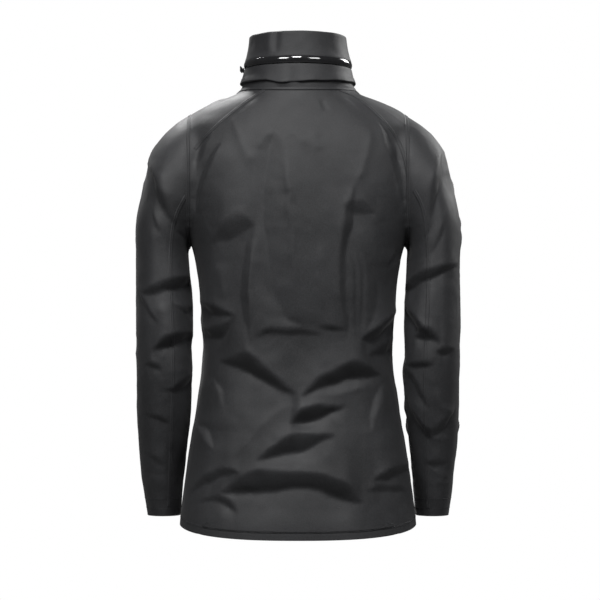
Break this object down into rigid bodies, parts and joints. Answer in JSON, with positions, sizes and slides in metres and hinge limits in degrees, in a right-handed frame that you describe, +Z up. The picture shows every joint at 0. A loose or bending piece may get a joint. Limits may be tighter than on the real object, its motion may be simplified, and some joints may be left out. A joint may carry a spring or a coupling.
{
  "type": "hardshell jacket",
  "caption": "Men's waterproof hardshell jacket in worn shape, empty: high collar with a hood pocket zip, front zip, hand pockets, cuff tabs and a drawcord hem.",
  "frame": {"origin": "centre of the neck opening at the collar seam", "axes": "+Z up along the neck; the front of the jacket faces -Y; +X is the wearer's left"},
  "size_m": [0.538, 0.2816, 0.8123],
  "materials": {
    "shell_fabric": "matte woven face",
    "lining_fabric": "matte",
    "zip_tape": "satin",
    "laminated_tape": "glossy laminate",
    "zip_coil": "satin",
    "slider_metal": "satin black",
    "cord": "braided",
    "cord_lock": "matte",
    "tab_rubber": "matte"
  },
  "bodies": {
    "shell": {"back_panel": "shell_fabric", "chin_guard": "lining_fabric", "collar_front_panel_left": "shell_fabric", "collar_front_panel_right": "shell_fabric", "collar_lining": "lining_fabric", "collar_lower_band": "shell_fabric", "collar_upper_band": "shell_fabric", "collar_zip_tape_lower": "laminated_tape", "collar_zip_tape_upper": "laminated_tape", "drawcord_anchor_left": "lining_fabric", "drawcord_anchor_right": "lining_fabric", "front_panel_left": "shell_fabric", "front_panel_right": "shell_fabric", "hand_pocket_bag_left": "lining_fabric", "hand_pocket_bag_right": "lining_fabric", "hanger_loop": "lining_fabric", "hem_drawcord": "cord", "hem_facing": "lining_fabric", "main_zip_coil_left": "zip_coil", "main_zip_coil_right": "zip_coil", "main_zip_end_box": "zip_coil", "main_zip_tape_left": "zip_tape", "main_zip_tape_right": "zip_tape", "main_zip_top_stop": "zip_coil", "pocket_zip_coil_left": "zip_coil", "pocket_zip_coil_right": "zip_coil", "pocket_zip_tape_left": "zip_tape", "pocket_zip_tape_right": "zip_tape", "shoulder_saddle_left": "shell_fabric", "shoulder_saddle_right": "shell_fabric", "sleeve_head_left": "shell_fabric", "sleeve_head_right": "shell_fabric", "storm_flap": "shell_fabric", "stowed_hood": "shell_fabric"},
    "upper_sleeve_left": {"upper_sleeve_outer_left": "shell_fabric", "upper_sleeve_under_left": "shell_fabric", "elbow_gusset_left": "shell_fabric"},
    "forearm_left": {"forearm_outer_left": "shell_fabric", "forearm_under_left": "shell_fabric", "cuff_facing_left": "lining_fabric"},
    "cuff_tab_left": {"cuff_tab_left": "tab_rubber"},
    "pocket_slider_left": {"pocket_zip_slider_left": "slider_metal"},
    "pocket_pull_left": {"pocket_zip_pull_left": "slider_metal"},
    "cord_lock_left": {"hem_cord_lock_left": "cord_lock"},
    "lock_button_left": {"cord_lock_button_left": "cord_lock"},
    "upper_sleeve_right": {"upper_sleeve_outer_right": "shell_fabric", "upper_sleeve_under_right": "shell_fabric", "elbow_gusset_right": "shell_fabric"},
    "forearm_right": {"forearm_outer_right": "shell_fabric", "forearm_under_right": "shell_fabric", "cuff_facing_right": "lining_fabric"},
    "cuff_tab_right": {"cuff_tab_right": "tab_rubber"},
    "pocket_slider_right": {"pocket_zip_slider_right": "slider_metal"},
    "pocket_pull_right": {"pocket_zip_pull_right": "slider_metal"},
    "cord_lock_right": {"hem_cord_lock_right": "cord_lock"},
    "lock_button_right": {"cord_lock_button_right": "cord_lock"},
    "main_slider": {"main_zip_slider": "slider_metal"},
    "main_pull": {"main_zip_pull": "slider_metal"},
    "collar_slider": {"collar_zip_slider": "slider_metal"},
    "collar_pull": {"collar_zip_pull": "slider_metal"}
  },
  "joints": [
    {"name": "sleeve_lift_left", "type": "hinge", "parent": "shell", "child": "upper_sleeve_left", "pos_m": [0.2, 0, -0.15], "axis": [0, -1, 0], "range_deg": [0, 60]},
    {"name": "elbow_left", "type": "hinge", "parent": "upper_sleeve_left", "child": "forearm_left", "pos_m": [0.21975, 0.035, -0.42], "axis": [-1, 0, 0], "range_deg": [0, 90], "deforming": ["elbow_gusset_left"]},
    {"name": "cuff_tab_left", "type": "hinge", "parent": "forearm_left", "child": "cuff_tab_left", "pos_m": [0.2432, -0.0765, -0.673], "axis": [0, 0, 1], "range_deg": [0, 110]},
    {"name": "pocket_zip_left", "type": "slide", "parent": "shell", "child": "pocket_slider_left", "axis": [0, 0.0005, -1], "range_m": [0, 0.146]},
    {"name": "pocket_pull_left", "type": "hinge", "parent": "pocket_slider_left", "child": "pocket_pull_left", "pos_m": [0.12035, -0.11895, -0.486], "axis": [-0.853, -0.5219, -0.0003], "range_deg": [0, 170]},
    {"name": "cord_lock_left", "type": "slide", "parent": "shell", "child": "cord_lock_left", "axis": [0, 0, 1], "range_m": [-0.018, 0.036]},
    {"name": "lock_button_left", "type": "slide", "parent": "cord_lock_left", "child": "lock_button_left", "axis": [0, 1, 0], "range_m": [0, 0.001]},
    {"name": "sleeve_lift_right", "type": "hinge", "parent": "shell", "child": "upper_sleeve_right", "pos_m": [-0.2, 0, -0.15], "axis": [0, 1, 0], "range_deg": [0, 60]},
    {"name": "elbow_right", "type": "hinge", "parent": "upper_sleeve_right", "child": "forearm_right", "pos_m": [-0.21975, 0.035, -0.42], "axis": [-1, 0, 0], "range_deg": [0, 90], "deforming": ["elbow_gusset_right"]},
    {"name": "cuff_tab_right", "type": "hinge", "parent": "forearm_right", "child": "cuff_tab_right", "pos_m": [-0.2432, -0.0765, -0.673], "axis": [0, 0, -1], "range_deg": [0, 110]},
    {"name": "pocket_zip_right", "type": "slide", "parent": "shell", "child": "pocket_slider_right", "axis": [0, 0.0005, -1], "range_m": [0, 0.146]},
    {"name": "pocket_pull_right", "type": "hinge", "parent": "pocket_slider_right", "child": "pocket_pull_right", "pos_m": [-0.12035, -0.11895, -0.486], "axis": [-0.853, 0.5219, 0.0003], "range_deg": [0, 170]},
    {"name": "cord_lock_right", "type": "slide", "parent": "shell", "child": "cord_lock_right", "axis": [0, 0, 1], "range_m": [-0.018, 0.036]},
    {"name": "lock_button_right", "type": "slide", "parent": "cord_lock_right", "child": "lock_button_right", "axis": [0, 1, 0], "range_m": [0, 0.001]},
    {"name": "main_zip", "type": "hinge", "parent": "shell", "child": "main_slider", "pos_m": [0, 2.125, -0.43], "axis": [1, 0, 0], "range_deg": [0, 18.4]},
    {"name": "main_pull", "type": "hinge", "parent": "main_slider", "child": "main_pull", "pos_m": [0, -0.09068, 0.075], "axis": [-1, 0, 0], "range_deg": [0, 170]},
    {"name": "collar_zip", "type": "hinge", "parent": "shell", "child": "collar_slider", "pos_m": [0, 0, 0.04275], "axis": [0, 0, 1], "range_deg": [0, 190]},
    {"name": "collar_pull", "type": "hinge", "parent": "collar_slider", "child": "collar_pull", "pos_m": [0.09265, -0.0081, 0.04275], "axis": [0, 0, -1], "range_deg": [0, 170]}
  ]
}
